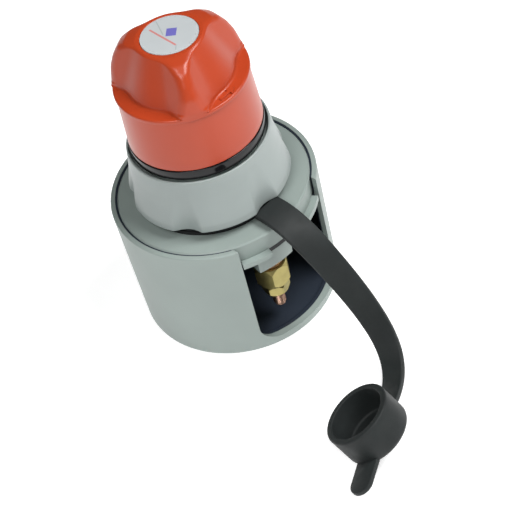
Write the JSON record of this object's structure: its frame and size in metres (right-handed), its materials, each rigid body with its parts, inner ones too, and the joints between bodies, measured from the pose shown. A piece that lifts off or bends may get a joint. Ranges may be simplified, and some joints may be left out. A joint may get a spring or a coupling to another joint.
{
  "type": "battery switch",
  "caption": "Round panel-mount battery switch with a fluted ring nut, a pull-off key knob, an open-sided terminal housing and a tethered rubber cap.",
  "frame": {"origin": "centre of the rear housing's flat end, which the switch stands on", "axes": "+Z along the switch axis, out of the panel towards the knob; the cable slot faces -Y and +X, and the rubber strap leaves on that side"},
  "size_m": [0.1078, 0.1938, 0.1537],
  "materials": {
    "body_grey": "moulded, satin",
    "nut_grey": "moulded, satin",
    "knob_red": "moulded, semi-gloss",
    "gloss_black": "polished",
    "rubber_black": "matt, moulded",
    "seal_black": "matt",
    "copper": "turned copper",
    "brass": "machined",
    "zinc_steel": "zinc plated",
    "spring_steel": "oiled",
    "rotor_plastic": "moulded",
    "washer_nylon": "natural",
    "label_white": "printed disc",
    "liner_black": "blue-black insulation"
  },
  "bodies": {
    "root": {"rear_housing": "body_grey", "housing_liner": "liner_black", "housing_screws": "zinc_steel", "front_body": "body_grey", "body_gasket": "seal_black", "panel_gasket": "seal_black", "contact_base": "body_grey", "base_screws": "zinc_steel", "terminal_stud_a": "copper", "terminal_stud_b": "copper", "fixed_contact_a": "copper", "fixed_contact_b": "copper", "clamp_nuts": "brass", "lock_washers": "spring_steel", "terminal_nuts": "brass"},
    "rotor": {"rotor_shaft": "rotor_plastic", "rotor_washer": "washer_nylon", "rotor_seal": "seal_black", "detent_ball": "zinc_steel", "detent_spring": "spring_steel", "contact_spring": "spring_steel", "bridge_clip": "zinc_steel"},
    "bridge": {"contact_bridge": "copper"},
    "knob": {"knob_shell": "knob_red", "knob_sleeve": "gloss_black", "knob_key": "rotor_plastic", "knob_screw": "zinc_steel", "knob_label": "label_white"},
    "nut_carrier": {"slip_washer": "zinc_steel"},
    "ring_nut": {"ring_nut": "nut_grey"},
    "tether_ring": {"strap_ring": "rubber_black"},
    "strap": {"cap_strap": "rubber_black"},
    "cap": {"rubber_cap": "rubber_black"}
  },
  "joints": [
    {"name": "switch_turn", "type": "hinge", "parent": "root", "child": "rotor", "pos_m": [0, 0, 0.09], "axis": [0, 0, -1], "range_deg": [0, 90]},
    {"name": "key_pull", "type": "slide", "parent": "rotor", "child": "knob", "axis": [0, 0, 1], "range_m": [0, 0.03]},
    {"name": "bridge_float", "type": "slide", "parent": "rotor", "child": "bridge", "axis": [0, 0, 1], "range_m": [0, 0.0006], "stiffness_N_per_m": 2000, "deforming": ["contact_spring"]},
    {"name": "nut_lift", "type": "slide", "parent": "root", "child": "nut_carrier", "axis": [0, 0, 1], "range_m": [0, 0.0041]},
    {"name": "nut_turn", "type": "hinge", "parent": "nut_carrier", "child": "ring_nut", "pos_m": [0, 0, 0.085], "axis": [0, 0, 1], "range_deg": [0, 720]},
    {"name": "tether_swivel", "type": "hinge", "parent": "root", "child": "tether_ring", "pos_m": [0, 0, 0.0707], "axis": [0, 0, 1], "range_deg": [-90, 90]},
    {"name": "strap_flex", "type": "hinge", "parent": "tether_ring", "child": "strap", "pos_m": [0.02176, -0.03338, 0.07096], "axis": [-0.8366, -0.5478, 0], "range_deg": [0, 80]},
    {"name": "cap_flex", "type": "hinge", "parent": "strap", "child": "cap", "pos_m": [0.04679, -0.10097, 0.00718], "axis": [-0.7367, 0.4277, -0.5237], "range_deg": [0, 80]}
  ],
  "couplings": [
    {"joint": "nut_lift", "follows": "nut_turn", "m_per_rad": 0.00031831}
  ]
}
